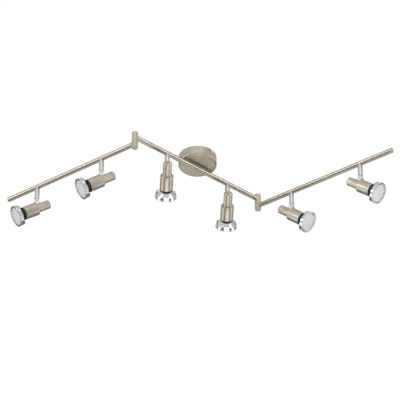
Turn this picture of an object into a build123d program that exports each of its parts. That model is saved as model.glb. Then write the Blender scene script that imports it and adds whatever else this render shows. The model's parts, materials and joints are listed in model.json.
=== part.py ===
from build123d import *
from math import cos, radians, sin
import os

# Folding ceiling bar with six swivelling spots.  Millimetres, +Z up.
# Origin: centre of the canopy on the ceiling plane.  The bar is a zigzag of three tubes: a fixed
# centre tube under the canopy and an outer tube hinged to each of its ends.  It is shown unfolded
# part way, and it is the same after half a turn about Z, apart from the aim of the spots.

# --- canopy and what fastens it -------------------------------------------------------------
canopy_diameter = 100.0
canopy_height = 27.0
canopy_wall = 1.2
canopy_edge_radius = 4.0
bracket_thickness = 1.5
bracket_width = 20.0
bracket_half_length = 47.0
bracket_flange_drop = 14.0
ceiling_hole_spacing = 50.0
ceiling_hole_diameter = 4.5
side_screw_z = -7.0
side_screw_diameter = 4.0
side_screw_head = 7.0
bayonet_turn = 11.0             # degrees from the slot's mouth to the seated screw
terminal_size = (14.0, 27.0, 12.0)
terminal_pitch = 8.5
earth_screw_offset = 38.0
stem_offset = 36.0
stem_thread = 8.0
stem_collar = 10.0
stem_bore = 5.0

# --- tubes and hinges -----------------------------------------------------------------------
tube_diameter = 13.0
tube_wall = 1.0
tube_pitch = 415.0              # hinge to hinge, and hinge to free end
center_tube_z = -37.0
center_azimuth = 39.5           # plan direction of the centre tube, degrees from +X
outer_azimuth = -35.0           # plan direction of both outer tubes
knuckle_diameter = 16.5
knuckle_joint_rise = 10.8       # face where the two knuckles meet, to either tube's axis
knuckle_reach = 14.2            # tube axis to the knuckle's outer end
knuckle_edge_radius = 1.5
hinge_gap = 0.2
axle_diameter = 6.0
running_clearance = 0.05        # radial, in every bore that a shaft turns in
axle_head_diameter = 9.0
axle_head_height = 2.5
axle_recess_diameter = 10.0
axle_recess_depth = 3.5
tube_setback = 4.5              # tube end to hinge axis, inside the knuckle
end_cap_flange = 1.5
end_cap_plug = 6.0

# --- arms -----------------------------------------------------------------------------------
boss_reach = 10.0               # tube axis to the lower face of an arm boss
boss_diameter = 12.0            # under the tube's own, so that the weld line is clean
arm_diameter = 13.0
arm_length = 50.0               # tube axis to tilt axis
arm_face_gap = 0.1
spigot_diameter = 6.0
spigot_bore = 3.2
spigot_head = 8.0
spigot_head_z = -2.4            # under the tube axis: rests clear of the curved tube wall
tongue_thickness = 4.0
tongue_width = 10.0
shoulder_rise = 7.1             # tilt axis to the flat end of the arm's round shaft
pivot_diameter = 3.0
pivot_head_diameter = 5.6
pivot_head_depth = 1.5

# --- heads, along the head axis: 0 is level with the tilt axis, + is towards the lamp --------
pivot_offset = 18.5             # head axis to tilt axis
rear_radius = 11.4
rear_end = -27.0
front_radius = 17.1
shoulder = 10.0
front_end = 49.0
housing_wall = 1.2
end_wall = 1.5
cheek_gap = 0.1
gasket_front = 53.5
gasket_plug = 5.0
gasket_bore_radius = 14.2
holder_face = 25.7
holder_radius = 14.0
holder_tail_radius = 9.0
holder_tail_length = 10.0
lamp_base = 26.0
lamp_front = 72.0
lamp_radius = 25.0
lamp_neck_radius = 13.0
pin_radius = 5.0                # half the distance between the two lamp pins
pin_neck_diameter = 2.8
pin_neck_length = 3.5
pin_head_diameter = 4.8
pin_head_length = 3.0
lamp_twist = 25.0               # degrees from seated to released
ring_radius = 28.4
ring_opening_radius = 23.9
ring_band_radius = 27.3
ring_front = 73.2
ring_rear = 60.5

# --- where the six spots hang and how they are aimed -----------------------------------------
near_spot = 106.0               # hinge axis to the nearer spot of any tube
spot_spacing = 211.0            # between the two spots of an outer tube
far_spot = near_spot + spot_spacing
# spot number: (tube it hangs from, distance from that tube's hinge, azimuth, tilt from straight down)
spot_places = {
    1: ("left", far_spot, 192.5, 57.5),
    2: ("left", near_spot, 189.0, 57.0),
    3: ("center_left", near_spot, 94.0, 63.0),
    4: ("center_right", near_spot, 93.5, 62.5),
    5: ("right", near_spot, -20.5, 50.5),
    6: ("right", far_spot, -22.0, 52.0),
}

# --- worked out from the above ----------------------------------------------------------------
canopy_radius = canopy_diameter / 2
canopy_inner_radius = canopy_radius - canopy_wall
tube_radius = tube_diameter / 2
tube_bore = tube_radius - tube_wall
knuckle_radius = knuckle_diameter / 2
knuckle_height = knuckle_joint_rise + knuckle_reach
outer_tube_z = center_tube_z - 2 * knuckle_joint_rise - hinge_gap
front_bore = front_radius - housing_wall
rear_bore = rear_radius - housing_wall


def direction(azimuth):
    """Unit vector in plan."""
    return Vector(cos(radians(azimuth)), sin(radians(azimuth)), 0)


center_direction = direction(center_azimuth)
outer_direction = direction(outer_azimuth)
left_hinge = center_direction * (-tube_pitch / 2)
right_hinge = center_direction * (tube_pitch / 2)
# each run of tube: where its hinge is, which way it leads away from it, and how high its axis is
runs = {
    "left": (left_hinge, outer_direction * -1, outer_tube_z),
    "center_left": (left_hinge, center_direction, center_tube_z),
    "center_right": (right_hinge, center_direction * -1, center_tube_z),
    "right": (right_hinge, outer_direction, outer_tube_z),
}


def run_point(run, distance):
    """Point on a tube's axis, at a distance from its hinge."""
    hinge, away, height = runs[run]
    return hinge + away * distance + Vector(0, 0, height)


def across(frame):
    """Plane through the frame's X and Z: sketch X is the frame's X, sketch Y is its Z."""
    return Plane(frame.origin, x_dir=frame.x_dir, z_dir=frame.y_dir * -1)


def save(piece, name):
    """Label a finished piece and write it out."""
    piece.part.label = name
    export_step(piece.part, f"parts/{name}.step")


os.makedirs("parts", exist_ok=True)

# =============================================================================================
# Canopy group.  bar_frame has X along the centre tube; bracket_frame has X along the bracket,
# which lies square to the tube.
# =============================================================================================
bar_frame = Plane(Vector(0, 0, 0), x_dir=center_direction, z_dir=Vector(0, 0, 1))
bracket_frame = Plane(Vector(0, 0, 0), x_dir=direction(center_azimuth - 90), z_dir=Vector(0, 0, 1))
bracket_faces = [
    Plane(bracket_frame.origin, x_dir=bracket_frame.y_dir * side, z_dir=bracket_frame.x_dir * side)
    for side in (1, -1)
]

with BuildPart() as ceiling_bracket:
    with BuildSketch(bracket_frame.offset(-bracket_thickness)):
        Rectangle(2 * bracket_half_length, bracket_width)
        with Locations((-ceiling_hole_spacing / 2, 0), (ceiling_hole_spacing / 2, 0)):
            Circle(ceiling_hole_diameter / 2, mode=Mode.SUBTRACT)
        with Locations((-earth_screw_offset, 0)):
            Circle(side_screw_diameter / 2, mode=Mode.SUBTRACT)
    extrude(amount=bracket_thickness)
    for face in bracket_faces:
        with BuildSketch(face.offset(bracket_half_length - bracket_thickness)):
            with Locations((0, -bracket_flange_drop / 2)):
                Rectangle(bracket_width, bracket_flange_drop)
            with Locations((0, side_screw_z)):
                Circle(side_screw_diameter / 2, mode=Mode.SUBTRACT)
        extrude(amount=bracket_thickness)
save(ceiling_bracket, "ceiling_bracket")

bayonet_width = side_screw_diameter + 0.6
with BuildPart() as canopy:
    with BuildSketch(bar_frame.offset(-canopy_height)):
        Circle(canopy_radius)
    extrude(amount=canopy_height)
    fillet(canopy.faces().sort_by(Axis.Z)[0].edges(), canopy_edge_radius)
    with BuildSketch(bar_frame.offset(canopy_wall - canopy_height)):
        Circle(canopy_inner_radius)
    extrude(amount=canopy_height, mode=Mode.SUBTRACT)
    with BuildSketch(bar_frame.offset(-canopy_height)):
        with Locations((-stem_offset, 0), (stem_offset, 0)):
            Circle(stem_thread / 2 + 0.2)
    extrude(amount=2 * canopy_wall, mode=Mode.SUBTRACT)
    # bayonet slots: down from the rim, then round to the seated screw
    for side in (0, 180):
        seat = center_azimuth - 90 + side
        mouth = Plane(Vector(0, 0, 0), x_dir=direction(seat + bayonet_turn + 90),
                      z_dir=direction(seat + bayonet_turn))
        with BuildSketch(mouth.offset(canopy_inner_radius - 2)):
            with Locations((0, side_screw_z / 2 - bayonet_width / 4)):
                Rectangle(bayonet_width, -side_screw_z + bayonet_width / 2)
        extrude(amount=canopy_wall + 4, mode=Mode.SUBTRACT)
        with BuildSketch(Plane(Vector(0, 0, side_screw_z), x_dir=direction(seat),
                               z_dir=Vector(0, 0, 1)).offset(-bayonet_width / 2)):
            with BuildLine():
                CenterArc((0, 0), canopy_inner_radius - 1, 0, bayonet_turn)
                CenterArc((0, 0), canopy_radius + 1, 0, bayonet_turn)
                Line(Vector(canopy_inner_radius - 1, 0), Vector(canopy_radius + 1, 0))
                Line(direction(bayonet_turn) * (canopy_inner_radius - 1),
                     direction(bayonet_turn) * (canopy_radius + 1))
            make_face()
        extrude(amount=bayonet_width, mode=Mode.SUBTRACT)
        seated = Plane(Vector(0, 0, side_screw_z), x_dir=direction(seat + 90), z_dir=direction(seat))
        with BuildSketch(seated.offset(canopy_inner_radius - 2)):
            Circle(bayonet_width / 2)
        extrude(amount=canopy_wall + 4, mode=Mode.SUBTRACT)
save(canopy, "canopy")

screw_head_height = 2.4
screw_reach = 7.0
with BuildPart() as canopy_side_screws:
    for face in bracket_faces:
        with BuildSketch(face.offset(canopy_radius - screw_reach)):
            with Locations((0, side_screw_z)):
                Circle(side_screw_diameter / 2)
        extrude(amount=screw_reach)
        with BuildSketch(face.offset(canopy_radius)):
            with Locations((0, side_screw_z)):
                Circle(side_screw_head / 2)
        extrude(amount=screw_head_height, taper=20)
        with BuildSketch(face.offset(canopy_radius + screw_head_height - 1)):
            with Locations((0, side_screw_z)):
                Rectangle(side_screw_head, 1.0)
                Rectangle(1.0, side_screw_head / 2)
        extrude(amount=2, mode=Mode.SUBTRACT)
save(canopy_side_screws, "canopy_side_screws")

terminal_screw_diameter = 3.0
terminal_screw_spread = 3.8
terminal_wire_bore = 3.6
terminal_top = -bracket_thickness
terminal_bottom = terminal_top - terminal_size[2]
terminal_wire_z = terminal_top - terminal_size[2] / 2
pole_places = [(0, terminal_pitch * pole) for pole in (-1, 0, 1)]
screw_places = [(sx * terminal_screw_spread, sy) for _, sy in pole_places for sx in (-1, 1)]
wire_side = Plane(bracket_frame.origin, x_dir=bracket_frame.y_dir, z_dir=bracket_frame.x_dir)

with BuildPart() as terminal_block:
    with BuildSketch(bracket_frame.offset(terminal_bottom)):
        Rectangle(terminal_size[0], terminal_size[1])
    extrude(amount=terminal_size[2])
    with BuildSketch(wire_side.offset(-terminal_size[0])):
        with Locations(*[(place[1], terminal_wire_z) for place in pole_places]):
            Circle(terminal_wire_bore / 2)
    extrude(amount=2 * terminal_size[0], mode=Mode.SUBTRACT)
    with BuildSketch(bracket_frame.offset(terminal_bottom)):
        with Locations(*screw_places):
            Circle(terminal_screw_diameter / 2)
    extrude(amount=terminal_wire_z - terminal_bottom, mode=Mode.SUBTRACT)
save(terminal_block, "terminal_block")

with BuildPart() as terminal_screws:
    with BuildSketch(bracket_frame.offset(terminal_bottom + 0.8)):
        with Locations(*screw_places):
            Circle(terminal_screw_diameter / 2)
    extrude(amount=2.6)
    with BuildSketch(bracket_frame.offset(terminal_bottom + 0.8)):
        with Locations(*screw_places):
            Rectangle(2.4, 0.6)
    extrude(amount=0.7, mode=Mode.SUBTRACT)
save(terminal_screws, "terminal_screws")

with BuildPart() as earth_screw:
    with BuildSketch(bracket_frame.offset(-bracket_thickness)):
        with Locations((-earth_screw_offset, 0)):
            Circle(side_screw_diameter / 2)
    extrude(amount=bracket_thickness)
    with BuildSketch(bracket_frame.offset(-bracket_thickness - screw_head_height)):
        with Locations((-earth_screw_offset, 0)):
            Circle(side_screw_head / 2)
    extrude(amount=screw_head_height)
    with BuildSketch(bracket_frame.offset(-bracket_thickness - screw_head_height)):
        with Locations((-earth_screw_offset, 0)):
            Rectangle(side_screw_head, 1.0)
    extrude(amount=1.0, mode=Mode.SUBTRACT)
save(earth_screw, "earth_screw")

stem_top = -17.0
nut_across_flats = 13.0
nut_height = 5.0
stem_places = [(-stem_offset, 0), (stem_offset, 0)]
with BuildPart() as support_stems:
    with BuildSketch(bar_frame.offset(center_tube_z)):
        with Locations(*stem_places):
            Circle(stem_collar / 2)
    extrude(amount=-canopy_height - center_tube_z)
    with BuildSketch(bar_frame.offset(-canopy_height)):
        with Locations(*stem_places):
            Circle(stem_thread / 2)
    extrude(amount=stem_top + canopy_height)
    with BuildSketch(bar_frame.offset(center_tube_z)):
        with Locations(*stem_places):
            Circle(stem_bore / 2)
    extrude(amount=stem_top - center_tube_z, mode=Mode.SUBTRACT)
    # saddle that fits the tube
    with BuildSketch(Plane(Vector(0, 0, center_tube_z), x_dir=bar_frame.y_dir,
                           z_dir=center_direction).offset(-2 * stem_offset)):
        Circle(tube_radius)
    extrude(amount=4 * stem_offset, mode=Mode.SUBTRACT)
save(support_stems, "support_stems")

with BuildPart() as stem_nuts:
    with BuildSketch(bar_frame.offset(canopy_wall - canopy_height)):
        with Locations(*stem_places):
            RegularPolygon(nut_across_flats / 2, 6, major_radius=False)
            Circle(stem_thread / 2, mode=Mode.SUBTRACT)
    extrude(amount=nut_height)
save(stem_nuts, "stem_nuts")


# =============================================================================================
# Tubes, with a welded boss under each place where an arm hangs
# =============================================================================================
def tube_cylinder(start, away, length, radius, mode=Mode.ADD):
    """Round bar along a tube's axis."""
    with BuildSketch(Plane(start, z_dir=away)) as section:
        Circle(radius)
    extrude(section.sketch, amount=length, mode=mode)


def build_tube(run, length, boss_distances, wire_holes=()):
    """Tube of one run: starts inside the knuckle and carries the arm bosses."""
    _, away, _ = runs[run]
    start = run_point(run, tube_setback)
    with BuildPart() as tube:
        tube_cylinder(start, away, length, tube_radius)
        for distance in boss_distances:
            with BuildSketch(Plane(run_point(run, distance)).offset(-boss_reach)):
                Circle(boss_diameter / 2)
            extrude(amount=boss_reach)
        tube_cylinder(start, away, length, tube_bore, Mode.SUBTRACT)
        for distance in boss_distances:
            with BuildSketch(Plane(run_point(run, distance)).offset(-boss_reach)):
                Circle(spigot_diameter / 2 + running_clearance)
            extrude(amount=boss_reach, mode=Mode.SUBTRACT)
        for distance in wire_holes:
            with BuildSketch(Plane(run_point(run, distance))):
                Circle(stem_bore / 2)
            extrude(amount=tube_diameter, mode=Mode.SUBTRACT)
    return tube


center_tube = build_tube("center_left", tube_pitch - 2 * tube_setback,
                         (near_spot, tube_pitch - near_spot),
                         (tube_pitch / 2 - stem_offset, tube_pitch / 2 + stem_offset))
save(center_tube, "center_tube")
for side in ("left", "right"):
    outer_tube = build_tube(side, tube_pitch - end_cap_flange - tube_setback, (near_spot, far_spot))
    save(outer_tube, f"{side}_tube")

    with BuildPart() as end_cap:
        tube_cylinder(run_point(side, tube_pitch - end_cap_flange), runs[side][1], end_cap_flange,
                      tube_radius)
        fillet(end_cap.edges().filter_by(GeomType.CIRCLE).sort_by_distance(
            run_point(side, tube_pitch))[0], 0.5)
        tube_cylinder(run_point(side, tube_pitch - end_cap_flange - end_cap_plug), runs[side][1],
                      end_cap_plug, tube_bore)
    save(end_cap, f"{side}_end_cap")


# =============================================================================================
# Hinges: an upper knuckle on the centre tube, a lower knuckle on the outer tube, one axle
# =============================================================================================
upper_bottom = center_tube_z - knuckle_joint_rise
upper_top = center_tube_z + knuckle_reach
lower_bottom = outer_tube_z - knuckle_reach
axle_foot = lower_bottom + 2.0
with BuildPart() as hinge_upper_knuckles:
    with BuildSketch(Plane.XY.offset(upper_bottom)):
        with Locations(left_hinge, right_hinge):
            Circle(knuckle_radius)
    extrude(amount=knuckle_height)
    fillet(hinge_upper_knuckles.edges().group_by(Axis.Z)[-1], knuckle_edge_radius)
    with BuildSketch(Plane.XY.offset(upper_bottom)):
        with Locations(left_hinge, right_hinge):
            Circle(axle_diameter / 2 + running_clearance)
    extrude(amount=knuckle_height, mode=Mode.SUBTRACT)
    with BuildSketch(Plane.XY.offset(upper_top - axle_recess_depth)):
        with Locations(left_hinge, right_hinge):
            Circle(axle_recess_diameter / 2)
    extrude(amount=axle_recess_depth, mode=Mode.SUBTRACT)
    for run in ("center_left", "center_right"):
        tube_cylinder(run_point(run, tube_setback), runs[run][1], knuckle_radius, tube_radius,
                      Mode.SUBTRACT)
save(hinge_upper_knuckles, "hinge_upper_knuckles")

axle_head_bottom = upper_top - axle_recess_depth + 0.1
for side in ("left", "right"):
    hinge, away, _ = runs[side]
    with BuildPart() as lower_knuckle:
        with BuildSketch(Plane(hinge + Vector(0, 0, lower_bottom))):
            Circle(knuckle_radius)
        extrude(amount=knuckle_height)
        fillet(lower_knuckle.edges().group_by(Axis.Z)[0], knuckle_edge_radius)
        tube_cylinder(run_point(side, tube_setback), away, knuckle_radius, tube_radius, Mode.SUBTRACT)
        with BuildSketch(Plane(hinge + Vector(0, 0, axle_foot))):
            Circle(axle_diameter / 2)
        extrude(amount=knuckle_height, mode=Mode.SUBTRACT)
    save(lower_knuckle, f"{side}_hinge_knuckle")

    with BuildPart() as axle:
        with BuildSketch(Plane(hinge + Vector(0, 0, axle_foot))):
            Circle(axle_diameter / 2)
        extrude(amount=axle_head_bottom - axle_foot)
        with BuildSketch(Plane(hinge + Vector(0, 0, axle_head_bottom))):
            Circle(axle_head_diameter / 2)
        extrude(amount=axle_head_height)
        fillet(axle.edges().group_by(Axis.Z)[-1], 0.6)
        with BuildSketch(Plane(hinge + Vector(0, 0, axle_foot))):
            Circle(spigot_bore / 2)
        extrude(amount=knuckle_height * 3, mode=Mode.SUBTRACT)
    save(axle, f"{side}_hinge_axle")


# =============================================================================================
# Spots.  arm_frame: origin on the tilt axis, X along the spot's heading, Y along the tilt axis.
# head_frame: Z along the head axis towards the lamp, X from the head axis to the tilt axis.
# =============================================================================================
def build_arm(arm_frame):
    """Chrome arm: swivel spigot through the boss, round shaft, flat tongue for the tilt joint."""
    shaft_top = arm_length - boss_reach - arm_face_gap
    head_bottom = arm_length + spigot_head_z
    with BuildPart() as arm:
        with BuildSketch(arm_frame.offset(shoulder_rise)):
            Circle(arm_diameter / 2)
        extrude(amount=shaft_top - shoulder_rise)
        with BuildSketch(arm_frame.offset(shaft_top)):
            Circle(spigot_diameter / 2)
        extrude(amount=head_bottom - shaft_top)
        with BuildSketch(arm_frame.offset(head_bottom)):
            Circle(spigot_head / 2)
        extrude(amount=1.2)
        with BuildSketch(across(arm_frame)):
            with Locations((0, shoulder_rise / 2)):
                Rectangle(tongue_width, shoulder_rise)
            Circle(tongue_width / 2)
            Circle(pivot_diameter / 2 + running_clearance, mode=Mode.SUBTRACT)
        extrude(amount=tongue_thickness / 2, both=True)
        with BuildSketch(arm_frame.offset(shoulder_rise + 3)):
            Circle(spigot_bore / 2)
        extrude(amount=arm_length, mode=Mode.SUBTRACT)
    return arm


def build_housing(head_frame):
    """Stepped shell, open at the front, with two cheeks that straddle the arm's tongue."""
    cheek_inner = tongue_thickness / 2 + cheek_gap
    cheek_outer = arm_diameter / 2
    with BuildPart() as housing:
        with BuildSketch(across(head_frame)):
            with BuildLine():
                Polyline((0, rear_end), (rear_radius, rear_end), (rear_radius, shoulder),
                         (front_radius, shoulder), (front_radius, front_end), (0, front_end),
                         close=True)
            make_face()
            fillet(vertices().filter_by(lambda corner: abs(corner.X - rear_radius) < 0.01)
                   .sort_by(Axis.Y)[0], 3.0)
            fillet(vertices().filter_by(lambda corner: abs(corner.X - front_radius) < 0.01)
                   .sort_by(Axis.Y)[0], 1.0)
        revolve(axis=Axis(head_frame.origin, head_frame.z_dir))
        for side in (1, -1):
            with BuildSketch(across(head_frame).offset(side * cheek_inner)):
                with Locations((pivot_offset, 0)):
                    Circle(cheek_outer)
                with Locations(((pivot_offset + housing_wall) / 2, 0)):
                    Rectangle(pivot_offset - housing_wall, 2 * cheek_outer)
            extrude(amount=side * (cheek_outer - cheek_inner))
        with BuildSketch(head_frame.offset(rear_end + end_wall)):
            Circle(rear_bore)
        extrude(amount=front_end - rear_end, mode=Mode.SUBTRACT)
        with BuildSketch(head_frame.offset(shoulder + end_wall)):
            Circle(front_bore)
        extrude(amount=front_end - shoulder, mode=Mode.SUBTRACT)
        # wire hole between the cheeks, and the pivot's bore with its head recesses
        with BuildSketch(Plane(head_frame.origin, x_dir=head_frame.y_dir, z_dir=head_frame.x_dir)):
            Circle(cheek_inner - cheek_gap)
        extrude(amount=rear_radius + 1, mode=Mode.SUBTRACT)
        with BuildSketch(across(head_frame)):
            with Locations((pivot_offset, 0)):
                Circle(pivot_diameter / 2)
        extrude(amount=arm_diameter, both=True, mode=Mode.SUBTRACT)
        for side in (1, -1):
            with BuildSketch(across(head_frame).offset(side * (cheek_outer - pivot_head_depth))):
                with Locations((pivot_offset, 0)):
                    Circle(pivot_head_diameter / 2)
            extrude(amount=side * 2 * pivot_head_depth, mode=Mode.SUBTRACT)
    return housing


def build_pivot(head_frame):
    """Tilt pivot: a rivet with a slotted head sunk in each cheek."""
    reach = arm_diameter / 2
    with BuildPart() as pivot:
        with BuildSketch(across(head_frame)):
            with Locations((pivot_offset, 0)):
                Circle(pivot_diameter / 2)
        extrude(amount=reach, both=True)
        for side in (1, -1):
            with BuildSketch(across(head_frame).offset(side * (reach - pivot_head_depth))):
                with Locations((pivot_offset, 0)):
                    Circle(pivot_head_diameter / 2)
            extrude(amount=side * pivot_head_depth)
            with BuildSketch(across(head_frame).offset(side * (reach - 0.6))):
                with Locations((pivot_offset, 0)):
                    Rectangle(pivot_head_diameter, 0.8)
            extrude(amount=side * 1.0, mode=Mode.SUBTRACT)
    return pivot


def build_lampholder(head_frame):
    """Ceramic twist-lock holder with two keyhole slots for the lamp pins."""
    slot_lip = 2.5
    pocket_depth = 8.5
    neck_slot = pin_neck_diameter + 0.6
    head_slot = pin_head_diameter + 0.8
    with BuildPart() as lampholder:
        with BuildSketch(head_frame.offset(shoulder + end_wall)):
            Circle(holder_radius)
        extrude(amount=holder_face - shoulder - end_wall)
        with BuildSketch(head_frame.offset(shoulder + end_wall - holder_tail_length)):
            Circle(holder_tail_radius)
        extrude(amount=holder_tail_length)
        for start in (0, 180):
            path = CenterArc((0, 0), pin_radius, start, lamp_twist)
            with BuildSketch(head_frame.offset(holder_face - slot_lip)):
                SlotArc(path, neck_slot)
                with Locations(path @ 1):
                    Circle(head_slot / 2)
            extrude(amount=slot_lip, mode=Mode.SUBTRACT)
            with BuildSketch(head_frame.offset(holder_face - pocket_depth)):
                SlotArc(path, head_slot)
            extrude(amount=pocket_depth - slot_lip, mode=Mode.SUBTRACT)
    return lampholder


def build_gasket(head_frame):
    """Black grooved ring plugged into the front of the housing."""
    crest = front_radius - 0.3
    groove = crest - 1.0
    with BuildPart() as gasket:
        with BuildSketch(across(head_frame)):
            with BuildLine():
                Polyline((gasket_bore_radius, front_end - gasket_plug),
                         (front_bore, front_end - gasket_plug), (front_bore, front_end),
                         (crest, front_end), (crest, front_end + 1.2),
                         (groove, front_end + 1.2), (groove, front_end + 2.2),
                         (crest, front_end + 2.2), (crest, gasket_front - 0.8),
                         (crest - 0.8, gasket_front), (gasket_bore_radius, gasket_front),
                         close=True)
            make_face()
        revolve(axis=Axis(head_frame.origin, head_frame.z_dir))
    return gasket


def build_lamp(head_frame):
    """Reflector lamp with a twist-lock base: straight neck, flared reflector, rim, two pins."""
    flare_start = gasket_front + 1
    flare_end = lamp_front - 4
    with BuildPart() as lamp:
        with BuildSketch(across(head_frame)):
            with BuildLine():
                Polyline((0, lamp_front), (0, lamp_base), (lamp_neck_radius, lamp_base),
                         (lamp_neck_radius, flare_start))
                ThreePointArc((lamp_neck_radius, flare_start), (20.2, 60.0),
                              (lamp_radius - 0.5, flare_end))
                Polyline((lamp_radius - 0.5, flare_end), (lamp_radius, flare_end),
                         (lamp_radius, lamp_front - 0.5), (lamp_radius - 0.5, lamp_front),
                         (0, lamp_front))
            make_face()
        revolve(axis=Axis(head_frame.origin, head_frame.z_dir))
        with BuildSketch(head_frame.offset(lamp_base - pin_neck_length)):
            with Locations((-pin_radius, 0), (pin_radius, 0)):
                Circle(pin_neck_diameter / 2)
        extrude(amount=pin_neck_length)
        with BuildSketch(head_frame.offset(lamp_base - pin_neck_length - pin_head_length)):
            with Locations((-pin_radius, 0), (pin_radius, 0)):
                Circle(pin_head_diameter / 2)
        extrude(amount=pin_head_length)
    return lamp


def build_lamp_ring(head_frame):
    """Chrome ring round the lamp's rim: front lip, band, and three tabs towards the housing."""
    lip_thickness = ring_front - lamp_front
    band_rear = lamp_front - 7.5
    band_inner = lamp_radius + 0.1
    tab_width = 15.0
    with BuildPart() as ring:
        with BuildSketch(across(head_frame)):
            with BuildLine():
                Polyline((ring_opening_radius, lamp_front), (band_inner, lamp_front),
                         (band_inner, band_rear), (ring_band_radius, band_rear),
                         (ring_band_radius, lamp_front - lip_thickness),
                         (ring_radius, lamp_front - lip_thickness + 0.6),
                         (ring_radius, ring_front - 0.6), (ring_radius - 0.6, ring_front),
                         (ring_opening_radius + 0.4, ring_front),
                         (ring_opening_radius, ring_front - 0.4), close=True)
            make_face()
        revolve(axis=Axis(head_frame.origin, head_frame.z_dir))
        with BuildSketch(head_frame.offset(ring_rear)):
            with PolarLocations(ring_band_radius / 2, 3, start_angle=180):
                Rectangle(ring_band_radius + 2, tab_width)
            Circle(ring_band_radius, mode=Mode.INTERSECT)
            Circle(band_inner, mode=Mode.SUBTRACT)
        extrude(amount=band_rear - ring_rear)
    return ring


for number, (run, distance, azimuth, tilt) in spot_places.items():
    heading = direction(azimuth)
    down_slope = heading * sin(radians(tilt)) - Vector(0, 0, cos(radians(tilt)))
    up_slope = heading * cos(radians(tilt)) + Vector(0, 0, sin(radians(tilt)))
    pivot_point = run_point(run, distance) - Vector(0, 0, arm_length)
    arm_frame = Plane(pivot_point, x_dir=heading, z_dir=Vector(0, 0, 1))
    head_frame = Plane(pivot_point - up_slope * pivot_offset, x_dir=up_slope, z_dir=down_slope)
    save(build_arm(arm_frame), f"spot_{number}_arm")
    save(build_housing(head_frame), f"spot_{number}_housing")
    save(build_pivot(head_frame), f"spot_{number}_tilt_pivot")
    save(build_lampholder(head_frame), f"spot_{number}_lampholder")
    save(build_gasket(head_frame), f"spot_{number}_front_gasket")
    save(build_lamp(head_frame), f"spot_{number}_lamp")
    save(build_lamp_ring(head_frame), f"spot_{number}_lamp_ring")
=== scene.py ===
import json
from math import cos, pi, radians, sin, sqrt, tan

import bmesh
import bpy
from mathutils import Matrix, Vector


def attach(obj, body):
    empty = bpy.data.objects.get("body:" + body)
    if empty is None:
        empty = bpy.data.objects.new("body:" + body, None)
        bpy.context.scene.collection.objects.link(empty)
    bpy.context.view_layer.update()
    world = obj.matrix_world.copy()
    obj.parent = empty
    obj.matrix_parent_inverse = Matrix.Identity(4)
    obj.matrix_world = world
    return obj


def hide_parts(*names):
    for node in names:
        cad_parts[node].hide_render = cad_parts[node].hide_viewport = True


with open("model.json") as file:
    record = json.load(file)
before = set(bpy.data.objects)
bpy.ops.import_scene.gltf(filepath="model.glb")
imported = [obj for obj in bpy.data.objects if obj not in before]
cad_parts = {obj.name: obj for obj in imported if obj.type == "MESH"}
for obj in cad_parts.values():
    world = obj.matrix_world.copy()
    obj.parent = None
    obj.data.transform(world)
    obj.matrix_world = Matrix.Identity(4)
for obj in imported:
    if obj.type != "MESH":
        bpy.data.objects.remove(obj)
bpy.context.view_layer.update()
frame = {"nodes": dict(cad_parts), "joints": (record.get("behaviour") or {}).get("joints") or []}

# A folding ceiling bar with six reflector spots.  The frame is in metres; the sizes below are in
# millimetres and go through MM.  Every place comes from the frame's joints and boxes.
MM = 0.001
SPOTS = range(1, 7)

# --- sizes that repeat the CAD model's, in millimetres ---------------------------------------
BOSS_REACH = 10.0
ARM_RADIUS = 6.5
ARM_LENGTH = 50.0
ARM_FACE_GAP = 0.1
SPIGOT_RADIUS = 3.0
SHOULDER_RISE = 7.1
TONGUE_THICKNESS = 4.0
TONGUE_HALF_WIDTH = 5.0
CHEEK_INNER = 2.1
PIVOT_OFFSET = 18.5
REAR_RADIUS = 11.4
REAR_END = -27.0
FRONT_RADIUS = 17.1
SHOULDER = 10.0
FRONT_END = 49.0
HOUSING_WALL = 1.2
END_WALL = 1.5
GASKET_FRONT = 53.5
GASKET_PLUG = 5.0
GASKET_BORE = 14.2
LAMP_BASE = 26.0
LAMP_FRONT = 72.0
LAMP_RADIUS = 25.0
LAMP_NECK = 13.0
PIN_OFFSET = 5.0
RING_RADIUS = 28.4
RING_OPENING = 23.9
RING_BAND = 27.3
RING_FRONT = 73.2
RING_REAR = 60.5

# --- sizes of details that only this model has, in millimetres ---------------------------------
EDGE = 0.3
SPIGOT_SHORTENING = 2.4
TONGUE_ROOT = 0.6
DISH_DEPTH = 0.5
DISH_MARGIN = 3.6
RIM_MARGIN = 3.2
REAR_CHAMFER_WIDTH = 1.9
REAR_CHAMFER_HEIGHT = 2.4
RIVET_RADIUS = 2.7
RIVET_SUNK = 1.4
RIVET_DOME = 0.45
GASKET_INSET = 0.3
GROOVE_INSET = 1.3
GROOVE_START = 1.2
GROOVE_END = 2.2
GROOVE_SLOPE = 0.05
BASE_TOP = 47.0
GLASS_WALL = 1.4
PIN_LENGTH = 6.5
PIN_HEAD_LENGTH = 3.0
PIN_HEAD_RADIUS = 2.4
PIN_RADIUS = 1.4
LENS_UNDERLAP = 0.9
LENS_DOME = 0.8
PEBBLE_HEIGHT = 0.22
PEBBLE_PITCH = 4.4
PEBBLE_LIMIT = 22
BAND_LENGTH = 7.5
TAB_HALF_WIDTH = 7.5
TAB_COUNT = 3
TAB_STEPS = 12

joints = {joint["name"]: joint for joint in frame["joints"]}


# =============================================================================================
# Mesh helpers
# =============================================================================================
def round_corner(before, corner, after, radius, steps=5):
    """Points of an arc that replaces one corner of an outline."""
    corner, before, after = Vector(corner[:2]), Vector(before[:2]), Vector(after[:2])
    to_before, to_after = (before - corner).normalized(), (after - corner).normalized()
    half = to_before.angle(to_after) / 2
    reach = radius / tan(half)
    centre = corner + (to_before + to_after).normalized() * (radius / sin(half))
    start, end = corner + to_before * reach - centre, corner + to_after * reach - centre
    points = []
    for step in range(steps + 1):
        mixed = start.lerp(end, step / steps)
        points.append(centre + mixed.normalized() * radius)
    return points


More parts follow.
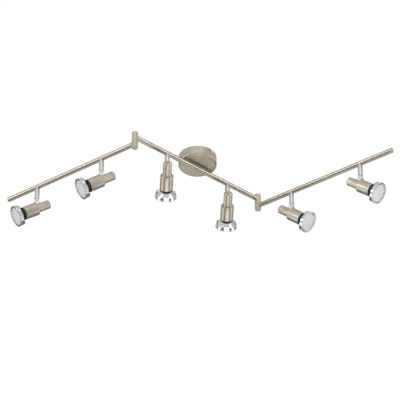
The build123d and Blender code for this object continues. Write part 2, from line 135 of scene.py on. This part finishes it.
def rounded(points, closed):
    """Outline with an arc at each point that has a radius as its third number."""
    result = []
    for index, point in enumerate(points):
        at_end = not closed and index in (0, len(points) - 1)
        if len(point) == 2 or at_end:
            result.append(Vector(point[:2]))
        else:
            result.extend(round_corner(points[index - 1], point, points[(index + 1) % len(points)],
                                       point[2]))
    return result


def arc(centre, radius, start, end, steps):
    """Points on an arc, angles in degrees."""
    return [(centre[0] + radius * cos(radians(start + (end - start) * step / steps)),
             centre[1] + radius * sin(radians(start + (end - start) * step / steps)))
            for step in range(steps + 1)]


def make_object(name, mesh, place):
    """Link a finished bmesh as an object, smooth with sharp edges kept."""
    bmesh.ops.remove_doubles(mesh, verts=mesh.verts, dist=1e-7)
    bmesh.ops.recalc_face_normals(mesh, faces=mesh.faces)
    data = bpy.data.meshes.new(name)
    mesh.to_mesh(data)
    mesh.free()
    for polygon in data.polygons:
        polygon.use_smooth = True
    data.set_sharp_from_angle(angle=radians(32))
    piece = bpy.data.objects.new(name, data)
    bpy.context.scene.collection.objects.link(piece)
    piece.matrix_world = place
    return piece


def lathe(name, outline, place, closed=True, segments=96, facet=None):
    """Turn an outline of (radius, height) about local Z.  An open outline starts and ends on Z."""
    mesh = bmesh.new()
    rings = []
    for radius, height in outline:
        if radius < 1e-6:
            rings.append([mesh.verts.new((0, 0, height * MM))])
            continue
        ring = []
        for step in range(segments):
            turn = 2 * pi * step / segments
            local = radius * (facet(turn, radius, height) if facet else 1)
            ring.append(mesh.verts.new((local * MM * cos(turn), local * MM * sin(turn), height * MM)))
        rings.append(ring)
    pairs = list(zip(rings, rings[1:]))
    if closed:
        pairs.append((rings[-1], rings[0]))
    for low, high in pairs:
        for step in range(segments):
            following = (step + 1) % segments
            if len(low) == 1 and len(high) == 1:
                continue
            if len(low) == 1:
                mesh.faces.new((low[0], high[step], high[following]))
            elif len(high) == 1:
                mesh.faces.new((low[step], high[0], low[following]))
            else:
                mesh.faces.new((low[step], high[step], high[following], low[following]))
    return make_object(name, mesh, place)


def plate(name, outline, low, high, place, bevel=0.25):
    """Flat plate: outline in local X and Z, thick along local Y from low to high."""
    mesh = bmesh.new()
    near = [mesh.verts.new((x * MM, low * MM, z * MM)) for x, z in outline]
    face = mesh.faces.new(near)
    grown = bmesh.ops.extrude_face_region(mesh, geom=[face])
    moved = [item for item in grown["geom"] if isinstance(item, bmesh.types.BMVert)]
    bmesh.ops.translate(mesh, verts=moved, vec=(0, (high - low) * MM, 0))
    piece = make_object(name, mesh, place)
    soften(piece, bevel)
    return piece


def soften(piece, width, segments=3):
    """Small bevel on the sharp edges, applied to the mesh."""
    bevel = piece.modifiers.new("edge", "BEVEL")
    bevel.width = width * MM
    bevel.segments = segments
    bevel.limit_method = "ANGLE"
    bevel.angle_limit = radians(35)
    bevel.harden_normals = False
    apply_modifiers(piece)


def apply_modifiers(piece):
    """Freeze the modifiers into the mesh."""
    graph = bpy.context.evaluated_depsgraph_get()
    data = bpy.data.meshes.new_from_object(piece.evaluated_get(graph))
    piece.modifiers.clear()
    piece.data = data


def dress(piece, body, material, nodes=()):
    """Give a piece its material and its body, and hide the CAD nodes that it stands for."""
    piece.data.materials.clear()
    piece.data.materials.append(material)
    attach(piece, body)
    if nodes:
        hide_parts(*nodes)
    return piece


# =============================================================================================
# Materials
# =============================================================================================
def new_material(name):
    """Material, its node tree and its shader."""
    material = bpy.data.materials.new(name)
    material.use_nodes = True
    return material, material.node_tree, material.node_tree.nodes["Principled BSDF"]


def add_noise(tree, scale, stretch, detail=4.0, roughness=0.55):
    """Noise in the piece's own coordinates, in cycles per metre along each axis."""
    place = tree.nodes.new("ShaderNodeTexCoord")
    mapping = tree.nodes.new("ShaderNodeMapping")
    mapping.inputs["Scale"].default_value = stretch
    noise = tree.nodes.new("ShaderNodeTexNoise")
    noise.inputs["Scale"].default_value = scale
    noise.inputs["Detail"].default_value = detail
    noise.inputs["Roughness"].default_value = roughness
    tree.links.new(place.outputs["Object"], mapping.inputs["Vector"])
    tree.links.new(mapping.outputs["Vector"], noise.inputs["Vector"])
    return noise.outputs["Fac"]


def add_ramp(tree, value, low, high, start=0.35, end=0.65):
    """Colour between two tones."""
    ramp = tree.nodes.new("ShaderNodeValToRGB")
    ramp.color_ramp.elements[0].position = start
    ramp.color_ramp.elements[0].color = (*low, 1)
    ramp.color_ramp.elements[1].position = end
    ramp.color_ramp.elements[1].color = (*high, 1)
    tree.links.new(value, ramp.inputs["Fac"])
    return ramp.outputs["Color"]


def add_range(tree, value, low, high):
    """Number between two limits."""
    spread = tree.nodes.new("ShaderNodeMapRange")
    spread.inputs["From Min"].default_value = 0.3
    spread.inputs["From Max"].default_value = 0.7
    spread.inputs["To Min"].default_value = low
    spread.inputs["To Max"].default_value = high
    tree.links.new(value, spread.inputs["Value"])
    return spread.outputs["Result"]


def add_bump(tree, shader, value, strength, distance):
    """Fine relief in the shader's normal."""
    bump = tree.nodes.new("ShaderNodeBump")
    bump.inputs["Strength"].default_value = strength
    bump.inputs["Distance"].default_value = distance
    tree.links.new(value, bump.inputs["Height"])
    tree.links.new(bump.outputs["Normal"], shader.inputs["Normal"])


def surface(name, low, high, rough, metallic=0.0, tone_scale=60.0, grain=(900.0, (1, 1, 1)),
            bump=0.0, bump_distance=0.00002):
    """Material with mottled colour, grain in its roughness, and a fine bump.

    Low and high are the two tones, rough the limits of roughness, and grain its scale and stretch.
    """
    material, tree, shader = new_material(name)
    shader.inputs["Metallic"].default_value = metallic
    tone = add_noise(tree, tone_scale, (1, 1, 1), 3.0)
    tree.links.new(add_ramp(tree, tone, low, high), shader.inputs["Base Color"])
    fine = add_noise(tree, grain[0], grain[1], 6.0, 0.6)
    tree.links.new(add_range(tree, fine, *rough), shader.inputs["Roughness"])
    if bump:
        add_bump(tree, shader, fine, bump, bump_distance)
    return material


NICKEL_LOW = (0.56, 0.515, 0.43)
NICKEL_HIGH = (0.66, 0.61, 0.52)
nickel_turned = surface("satin_nickel_turned", (0.60, 0.555, 0.47), (0.70, 0.65, 0.555), (0.35, 0.41),
                        1.0, 45.0, (60.0, (1, 1, 12)), 0.0)
nickel_drawn = surface("satin_nickel_drawn", NICKEL_LOW, NICKEL_HIGH, (0.23, 0.28), 1.0, 30.0,
                       (700.0, (1, 1, 1)), 0.02)
nickel_spun = surface("satin_nickel_spun", NICKEL_LOW, NICKEL_HIGH, (0.30, 0.36), 1.0, 25.0,
                      (500.0, (1, 1, 1)), 0.02)
chrome = surface("chrome", (0.80, 0.81, 0.82), (0.86, 0.87, 0.88), (0.04, 0.09), 1.0, 80.0,
                 (400.0, (1, 1, 1)), 0.0)
# A darker copy of the chrome for the arms, tongues and cheeks: its lower base colour is painted shade.
chrome_painted_shade = surface("chrome_painted_shade", (0.68, 0.69, 0.69), (0.74, 0.75, 0.75), (0.10, 0.16), 1.0, 80.0,
                     (400.0, (1, 1, 1)), 0.0)
zinc = surface("zinc_plate", (0.50, 0.51, 0.52), (0.62, 0.63, 0.62), (0.32, 0.48), 1.0, 120.0,
               (500.0, (1, 1, 1)), 0.1)
brass = surface("brass", (0.62, 0.46, 0.18), (0.74, 0.58, 0.27), (0.22, 0.36), 1.0, 200.0,
                (900.0, (1, 1, 1)), 0.05)
rubber = surface("black_rubber", (0.016, 0.016, 0.013), (0.035, 0.034, 0.028), (0.28, 0.42), 0.0,
                 300.0, (1500.0, (1, 1, 1)), 0.2)
plastic = surface("terminal_plastic", (0.74, 0.73, 0.68), (0.82, 0.81, 0.77), (0.4, 0.55), 0.0, 150.0,
                  (1200.0, (1, 1, 1)), 0.1)
ceramic = surface("ceramic", (0.78, 0.77, 0.73), (0.88, 0.87, 0.84), (0.28, 0.5), 0.0, 180.0,
                  (900.0, (1, 1, 1)), 0.15)
mirror_coat = surface("reflector_coating", (0.92, 0.95, 0.94), (0.97, 0.985, 0.98), (0.16, 0.26), 1.0,
                      160.0, (700.0, (1, 1, 1)), 0.05)


def make_glass(name, tint_low, tint_high, rough, transmission):
    """Glass with mottled tint and roughness."""
    material, tree, shader = new_material(name)
    shader.inputs["Transmission Weight"].default_value = transmission
    shader.inputs["IOR"].default_value = 1.47
    tone = add_noise(tree, 90.0, (1, 1, 1), 3.0)
    tree.links.new(add_ramp(tree, tone, tint_low, tint_high), shader.inputs["Base Color"])
    fine = add_noise(tree, 700.0, (1, 1, 1), 5.0)
    tree.links.new(add_range(tree, fine, *rough), shader.inputs["Roughness"])
    return material


lens_glass = make_glass("lens_glass", (0.965, 0.985, 0.98), (0.99, 1.0, 1.0), (0.12, 0.22), 0.0)
capsule_glass = make_glass("capsule_glass", (0.93, 0.93, 0.90), (0.97, 0.97, 0.95), (0.1, 0.3), 0.6)


# =============================================================================================
# Spots
# =============================================================================================
def frame_from(origin, x_axis, z_axis):
    """Place of a local frame, as a matrix."""
    z_axis = Vector(z_axis).normalized()
    x_axis = Vector(x_axis)
    x_axis = (x_axis - z_axis * x_axis.dot(z_axis)).normalized()
    y_axis = z_axis.cross(x_axis)
    matrix = Matrix((x_axis, y_axis, z_axis)).transposed().to_4x4()
    matrix.translation = Vector(origin)
    return matrix


def arm_place(number):
    """Origin on the tilt axis, local Z up, local Y along the tilt axis."""
    tilt = joints[f"spot_{number}_tilt"]
    y_axis = -Vector(tilt["axis"])
    return frame_from(tilt["pos_m"], y_axis.cross(Vector((0, 0, 1))), (0, 0, 1))


def head_place(number):
    """Origin on the head axis level with the tilt axis, local Z towards the lamp."""
    twist = joints[f"spot_{number}_lamp_twist"]
    tilt = joints[f"spot_{number}_tilt"]
    to_pivot = Vector(tilt["pos_m"]) - Vector(twist["pos_m"])
    return frame_from(twist["pos_m"], to_pivot, twist["axis"])


def build_arm(number, place, body):
    """Turned shaft with a swivel spigot, and the flat tongue at its foot."""
    top = ARM_LENGTH - BOSS_REACH - ARM_FACE_GAP
    spigot_end = ARM_LENGTH - SPIGOT_SHORTENING
    outline = rounded([(0, SHOULDER_RISE), (ARM_RADIUS, SHOULDER_RISE, 0.5), (ARM_RADIUS, top, 0.5),
                       (SPIGOT_RADIUS, top), (SPIGOT_RADIUS, spigot_end), (0, spigot_end)], False)
    shaft = lathe(f"spot_{number}_arm_shaft", outline, place, False)
    dress(shaft, body, chrome_painted_shade, [f"spot_{number}_arm"])
    foot = arc((0, 0), TONGUE_HALF_WIDTH, 180, 360, 24)
    root = SHOULDER_RISE + TONGUE_ROOT
    foot += [(TONGUE_HALF_WIDTH, root), (-TONGUE_HALF_WIDTH, root)]
    tongue = plate(f"spot_{number}_arm_tongue", foot, -TONGUE_THICKNESS / 2, TONGUE_THICKNESS / 2, place)
    dress(tongue, body, chrome_painted_shade)


def build_head(number, place, body):
    """Stepped shell, two cheeks with a rivet through them, and the ring in the mouth."""
    front_bore = FRONT_RADIUS - HOUSING_WALL
    rear_bore = REAR_RADIUS - HOUSING_WALL
    outline = rounded([
        (0, REAR_END + DISH_DEPTH), (REAR_RADIUS - DISH_MARGIN, REAR_END + DISH_DEPTH, EDGE),
        (REAR_RADIUS - RIM_MARGIN, REAR_END, EDGE), (REAR_RADIUS - REAR_CHAMFER_WIDTH, REAR_END, 1.2),
        (REAR_RADIUS, REAR_END + REAR_CHAMFER_HEIGHT, 1.5),
        (REAR_RADIUS, SHOULDER, 0.5), (FRONT_RADIUS, SHOULDER, 1.0),
        (FRONT_RADIUS, FRONT_END, EDGE), (front_bore, FRONT_END, EDGE),
        (front_bore, SHOULDER + END_WALL, 0.4), (rear_bore, SHOULDER + END_WALL, 0.4),
        (rear_bore, REAR_END + END_WALL, 1.0), (0, REAR_END + END_WALL)], False)
    shell = lathe(f"spot_{number}_housing_shell", outline, place, False, 128)
    dress(shell, body, nickel_turned, [f"spot_{number}_housing"])

    sunk = REAR_RADIUS - HOUSING_WALL / 2
    for side, label in ((1, "a"), (-1, "b")):
        low, high = sorted((side * CHEEK_INNER, side * ARM_RADIUS))
        ear = [(sunk * 0.9, -ARM_RADIUS)] + arc((PIVOT_OFFSET, 0), ARM_RADIUS, -90, 90, 28)
        ear += [(sunk * 0.9, ARM_RADIUS)]
        cheek = plate(f"spot_{number}_tilt_cheek_{label}", ear, low, high, place, 0.4)
        dress(cheek, body, chrome_painted_shade)
        face = place @ Matrix.Translation((PIVOT_OFFSET * MM, side * ARM_RADIUS * MM, 0))
        face = face @ Matrix.Rotation(radians(-90 * side), 4, "X")
        dome = rounded([(0, -RIVET_SUNK), (RIVET_RADIUS, -RIVET_SUNK), (RIVET_RADIUS, 0.1, EDGE),
                        (1.2, RIVET_DOME, 1.5), (0, RIVET_DOME)], False)
        rivet = lathe(f"spot_{number}_tilt_rivet_{label}", dome, face, False, 40)
        dress(rivet, body, zinc,
              [f"spot_{number}_tilt_pivot"] if side > 0 else ())

    crest, groove = FRONT_RADIUS - GASKET_INSET, FRONT_RADIUS - GROOVE_INSET
    groove_start, groove_end = FRONT_END + GROOVE_START, FRONT_END + GROOVE_END
    outline = rounded([
        (GASKET_BORE, FRONT_END - GASKET_PLUG), (front_bore, FRONT_END - GASKET_PLUG),
        (front_bore, FRONT_END), (crest, FRONT_END, EDGE), (crest, groove_start, 0.35),
        (groove, groove_start + GROOVE_SLOPE, 0.2), (groove, groove_end - GROOVE_SLOPE, 0.2),
        (crest, groove_end, 0.35),
        (crest, GASKET_FRONT, 0.9), (GASKET_BORE, GASKET_FRONT, 0.4)], True)
    gasket = lathe(f"spot_{number}_gasket_ring", outline, place, True)
    dress(gasket, body, rubber, [f"spot_{number}_front_gasket"])


def reflector_radius(height):
    """Radius of the reflector's outside at a height along the head axis."""
    start, end = GASKET_FRONT + 1, LAMP_FRONT - 4
    share = max(0.0, min(1.0, (height - start) / (end - start)))
    return sqrt(LAMP_NECK ** 2 + ((LAMP_RADIUS - 0.4) ** 2 - LAMP_NECK ** 2) * share)


def build_lamp(number, place, body):
    """Fluted reflector, twist-lock base with two pins, front glass and the capsule inside."""
    start, end = GASKET_FRONT + 1, LAMP_FRONT - 4
    steps = 14
    flare = [(reflector_radius(start + (end - start) * (step / steps) ** 1.5),
              start + (end - start) * (step / steps) ** 1.5) for step in range(steps + 1)]
    inner = [(radius - GLASS_WALL, height + 0.6) for radius, height in reversed(flare[1:])]
    outline = ([(LAMP_NECK, BASE_TOP)] + flare
               + [(LAMP_RADIUS - 0.1, end + 0.3), (LAMP_RADIUS, end + 0.8),
                  (LAMP_RADIUS, LAMP_FRONT - 1.0), (LAMP_RADIUS - 0.4, LAMP_FRONT - 0.6),
                  (LAMP_RADIUS - 1.6, LAMP_FRONT - 0.9)] + inner
               + [(6.0, start + 0.4), (5.0, start - 2), (5.0, BASE_TOP)])

    def facets(turn, radius, height):
        """Shallow flutes in the reflector's silvered inside."""
        inside = radius < reflector_radius(height) - 0.5 and height > start
        return 1 - 0.012 * abs(sin(turn * 18)) if inside else 1
    bowl = lathe(f"spot_{number}_lamp_reflector", outline, place, True, 144, facets)
    dress(bowl, body, mirror_coat, [f"spot_{number}_lamp"])

    base = rounded([(0, LAMP_BASE), (LAMP_NECK, LAMP_BASE, 0.8), (LAMP_NECK, 44.0, EDGE),
                    (LAMP_NECK - 0.6, 44.6, EDGE), (LAMP_NECK - 0.6, 46.0, EDGE),
                    (LAMP_NECK, 46.6, EDGE), (LAMP_NECK, 47.2), (0, 47.2)], False)
    dress(lathe(f"spot_{number}_lamp_base", base, place, False), body, ceramic)

    for side, label in ((1, "a"), (-1, "b")):
        pin_place = place @ Matrix.Translation((side * PIN_OFFSET * MM, 0, 0))
        pin_end = LAMP_BASE - PIN_LENGTH
        pin_neck = pin_end + PIN_HEAD_LENGTH
        pin = rounded([(0, pin_end), (PIN_HEAD_RADIUS, pin_end, 0.5), (PIN_HEAD_RADIUS, pin_neck, 0.4),
                       (PIN_RADIUS, pin_neck, EDGE), (PIN_RADIUS, LAMP_BASE), (0, LAMP_BASE)], False)
        dress(lathe(f"spot_{number}_lamp_pin_{label}", pin, pin_place, False, 32), body, brass)

    build_lens(number, place, body)
    capsule = rounded([(0, start - 1), (2.2, start - 1, 0.3), (2.2, start + 2.5, 0.6),
                       (4.2, start + 4.2, 1.2), (4.2, start + 9.5, 2.6), (1.2, start + 12.2, 0.8),
                       (0.8, start + 12.9), (0, start + 13)], False)
    dress(lathe(f"spot_{number}_lamp_capsule", capsule, place, False, 48), body,
          capsule_glass)


def build_lens(number, place, body):
    """Front glass: slightly domed outside, pebbled in rings on its inner face."""
    rows, segments = 22, 108
    rim = RING_OPENING + LENS_UNDERLAP
    mesh = bmesh.new()

    def sheet(height, relief):
        """Round face of the glass; returns its outermost points."""
        centre = mesh.verts.new((0, 0, height(0.0) * MM))
        rings = []
        for row in range(1, rows + 1):
            radius = rim * row / rows
            ring = []
            for step in range(segments):
                turn = 2 * pi * step / segments
                z = height(radius / rim) + relief(radius, turn)
                ring.append(mesh.verts.new((radius * MM * cos(turn), radius * MM * sin(turn), z * MM)))
            rings.append(ring)
        for step in range(segments):
            mesh.faces.new((centre, rings[0][step], rings[0][(step + 1) % segments]))
        for low, high in zip(rings, rings[1:]):
            for step in range(segments):
                following = (step + 1) % segments
                mesh.faces.new((low[step], high[step], high[following], low[following]))
        return rings[-1]

    front = sheet(lambda share: LAMP_FRONT - LENS_UNDERLAP + LENS_DOME * (1 - share * share),
                  lambda radius, turn: 0.0)

    def pebbles(radius, turn):
        """Height of the relief, in rings with more pebbles further out."""
        if radius >= PEBBLE_LIMIT:
            return 0
        wave = sin(radius * 2 * pi / PEBBLE_PITCH)
        return PEBBLE_HEIGHT * wave * cos(turn * round(6 + radius * 0.5))
    back = sheet(lambda share: LAMP_FRONT - 3.0 + 0.5 * (1 - share * share), pebbles)
    for step in range(segments):
        following = (step + 1) % segments
        mesh.faces.new((front[step], back[step], back[following], front[following]))
    dress(make_object(f"spot_{number}_lamp_lens", mesh, place), body, lens_glass)


def build_ring(number, place, body):
    """Chrome band with a lip round the lamp's rim, and its tabs."""
    band_inner = LAMP_RADIUS + 0.1
    band_rear = LAMP_FRONT - BAND_LENGTH
    lip = RING_FRONT - LAMP_FRONT
    outline = rounded([
        (RING_OPENING, LAMP_FRONT), (band_inner, LAMP_FRONT, 0.2), (band_inner, band_rear, 0.3),
        (RING_BAND, band_rear, 0.4), (RING_BAND, LAMP_FRONT - lip, 0.4),
        (RING_RADIUS, LAMP_FRONT - lip + 0.5, 0.4),
        (RING_RADIUS, RING_FRONT, 0.9), (RING_OPENING, RING_FRONT, 0.45)], True)
    band = lathe(f"spot_{number}_ring_band", outline, place, True, 144)
    dress(band, body, chrome, [f"spot_{number}_lamp_ring"])
    half_angle = TAB_HALF_WIDTH / RING_BAND
    for tab in range(TAB_COUNT):
        middle = pi + tab * 2 * pi / TAB_COUNT
        mesh = bmesh.new()
        columns = []
        for step in range(TAB_STEPS + 1):
            turn = middle - half_angle + 2 * half_angle * step / TAB_STEPS
            column = [mesh.verts.new((radius * MM * cos(turn), radius * MM * sin(turn), height * MM))
                      for radius, height in ((band_inner + 0.05, band_rear + 0.5),
                                             (band_inner + 0.05, RING_REAR),
                                             (RING_BAND - 0.05, RING_REAR),
                                             (RING_BAND - 0.05, band_rear + 0.5))]
            columns.append(column)
        for low, high in zip(columns, columns[1:]):
            for corner in range(4):
                following = (corner + 1) % 4
                mesh.faces.new((low[corner], low[following], high[following], high[corner]))
        mesh.faces.new(columns[0])
        mesh.faces.new(list(reversed(columns[-1])))
        piece = make_object(f"spot_{number}_ring_tab_{tab + 1}", mesh, place)
        soften(piece, 0.35)
        dress(piece, body, chrome)


for number in SPOTS:
    build_arm(number, arm_place(number), f"spot_{number}_arm_body")
    build_head(number, head_place(number), f"spot_{number}_head")
    build_lamp(number, head_place(number), f"spot_{number}_lamp_body")
    build_ring(number, head_place(number), f"spot_{number}_lamp_body")

# =============================================================================================
# CAD nodes that keep their own shape
# =============================================================================================
kept_looks = {
    "canopy": nickel_spun, "center_tube": nickel_drawn, "left_tube": nickel_drawn,
    "right_tube": nickel_drawn, "hinge_upper_knuckles": nickel_turned,
    "left_hinge_knuckle": nickel_turned, "right_hinge_knuckle": nickel_turned,
    "left_end_cap": nickel_turned, "right_end_cap": nickel_turned, "support_stems": nickel_turned,
    "canopy_side_screws": nickel_turned, "ceiling_bracket": zinc, "stem_nuts": zinc,
    "left_hinge_axle": zinc, "right_hinge_axle": zinc, "terminal_block": plastic,
    "terminal_screws": brass, "earth_screw": brass,
}
for number in SPOTS:
    kept_looks[f"spot_{number}_lampholder"] = ceramic
for name, look in kept_looks.items():
    node = frame["nodes"][name]
    node.data.materials.clear()
    node.data.materials.append(look)

# =============================================================================================
# Floor, light and camera
# =============================================================================================
FLOOR_HEIGHT = -6.6
CAMERA_PLACE = (0.0064, -4.3306, -3.3978)
CAMERA_RISE = 36.96
CAMERA_LENS = 188.9
FLOOR_HALF = 3.5

floor_mesh = bpy.data.meshes.new("floor")
floor_corners = ((-1, -1), (1, -1), (1, 1), (-1, 1))
floor_mesh.from_pydata([(x * FLOOR_HALF, y * FLOOR_HALF, FLOOR_HEIGHT) for x, y in floor_corners],
                       [], [(0, 1, 2, 3)])
floor = bpy.data.objects.new("floor", floor_mesh)
bpy.context.scene.collection.objects.link(floor)
floor.data.materials.append(surface("floor_paper", (0.86, 0.86, 0.86), (0.88, 0.88, 0.88), (0.7, 0.8)))


def softbox(name, place, target, width, height, radiance):
    """Rectangular light of one even brightness that the camera doesn't see."""
    data = bpy.data.lights.new(name, "AREA")
    data.shape = "RECTANGLE"
    data.size = width
    data.size_y = height
    data.energy = radiance * pi * width * height
    light = bpy.data.objects.new(name, data)
    bpy.context.scene.collection.objects.link(light)
    light.location = place
    light.visible_camera = False
    direction = Vector(target) - Vector(place)
    light.rotation_euler = direction.to_track_quat("-Z", "Y").to_euler()


softbox("front_high", (0, -3.2, 2.4), (0, 0, 0), 5.0, 1.3, 0.5)
softbox("below_centre", (0.35, 0.1, -3.0), (0, 0, 0), 1.1, 2.6, 1.2)
softbox("low_left", (-3.0, 0.9, -1.1), (0, 0, 0), 1.4, 1.4, 1.1)
softbox("low_right", (3.0, 0.9, -1.1), (0, 0, 0), 1.4, 1.4, 1.1)
softbox("strip_right", (3.3, -1.2, 0.25), (0, 0, 0), 3.2, 0.6, 3.4)
softbox("strip_left", (-3.1, -1.6, 0.25), (0, 0, 0), 3.2, 0.6, 3.4)

# An even studio with darker zones low on each side and level on the far side, which the chrome
# needs for contrast.  Starts and ends are components of the direction, from -1 to 1.
EVEN_TONE = (0.58, 0.575, 0.56, 1)
FAR_TONE = (0.16, 0.16, 0.155, 1)
SIDE_TINT = (1.0, 0.99, 0.97)
SIDE_LEVELS = ((0.0, 0.62), (0.40, 0.62), (0.48, 0.11), (0.73, 0.11), (0.81, 0.72), (1.0, 0.72))
LOW_ZONE = (-0.25, -0.36)
FAR_ZONE = (0.25, 0.42)
LEVEL_ZONE = (0.34, 0.22)
MIX_SHARE, MIX_FIRST, MIX_SECOND, MIX_RESULT = 0, 6, 7, 2

world = bpy.data.worlds.new("studio")
world.use_nodes = True
bpy.context.scene.world = world
bpy.context.scene.view_settings.view_transform = "Standard"
tree = world.node_tree


def calculate(operation, *values):
    """Result of a math node on one or two values."""
    node = tree.nodes.new("ShaderNodeMath")
    node.operation = operation
    for index, value in enumerate(values):
        tree.links.new(value, node.inputs[index])
    return node.outputs["Value"]


def fade(value, zone):
    """0 before the zone's start and 1 past its end."""
    node = tree.nodes.new("ShaderNodeMapRange")
    node.inputs["From Min"].default_value, node.inputs["From Max"].default_value = zone
    tree.links.new(value, node.inputs["Value"])
    return node.outputs["Result"]


def colour_mix(share):
    """Mix node for colours, with its share linked."""
    node = tree.nodes.new("ShaderNodeMix")
    node.data_type = "RGBA"
    tree.links.new(share, node.inputs[MIX_SHARE])
    return node


direction = tree.nodes.new("ShaderNodeTexCoord")
parts = tree.nodes.new("ShaderNodeSeparateXYZ")
tree.links.new(direction.outputs["Generated"], parts.inputs["Vector"])

sides = tree.nodes.new("ShaderNodeValToRGB")
for index, (position, level) in enumerate(SIDE_LEVELS):
    stop = (sides.color_ramp.elements[index] if index < 2
            else sides.color_ramp.elements.new(position))
    stop.position = position
    stop.color = (*(level * tint for tint in SIDE_TINT), 1)
tree.links.new(calculate("ABSOLUTE", parts.outputs["X"]), sides.inputs["Fac"])

low_part = colour_mix(fade(parts.outputs["Z"], LOW_ZONE))
low_part.inputs[MIX_FIRST].default_value = EVEN_TONE
tree.links.new(sides.outputs["Color"], low_part.inputs[MIX_SECOND])

beyond = fade(parts.outputs["Y"], FAR_ZONE)
near_level = fade(calculate("ABSOLUTE", parts.outputs["Z"]), LEVEL_ZONE)
far_part = colour_mix(calculate("MULTIPLY", beyond, near_level))
tree.links.new(low_part.outputs[MIX_RESULT], far_part.inputs[MIX_FIRST])
far_part.inputs[MIX_SECOND].default_value = FAR_TONE

# Seen by the camera itself, the studio is white.
background = tree.nodes["Background"]
tree.links.new(far_part.outputs[MIX_RESULT], background.inputs["Color"])
seen = tree.nodes.new("ShaderNodeBackground")
seen.inputs["Color"].default_value = (1, 1, 1, 1)
ray = tree.nodes.new("ShaderNodeLightPath")
mix = tree.nodes.new("ShaderNodeMixShader")
tree.links.new(ray.outputs["Is Camera Ray"], mix.inputs["Fac"])
tree.links.new(background.outputs["Background"], mix.inputs[1])
tree.links.new(seen.outputs["Background"], mix.inputs[2])
tree.links.new(mix.outputs["Shader"], tree.nodes["World Output"].inputs["Surface"])

camera_data = bpy.data.cameras.new("camera")
camera_data.lens = CAMERA_LENS
camera_data.sensor_width = 36.0
camera_data.clip_end = 100.0
camera = bpy.data.objects.new("camera", camera_data)
bpy.context.scene.collection.objects.link(camera)
camera.location = CAMERA_PLACE
camera.rotation_euler = (radians(90 + CAMERA_RISE), 0, 0)
bpy.context.scene.camera = camera
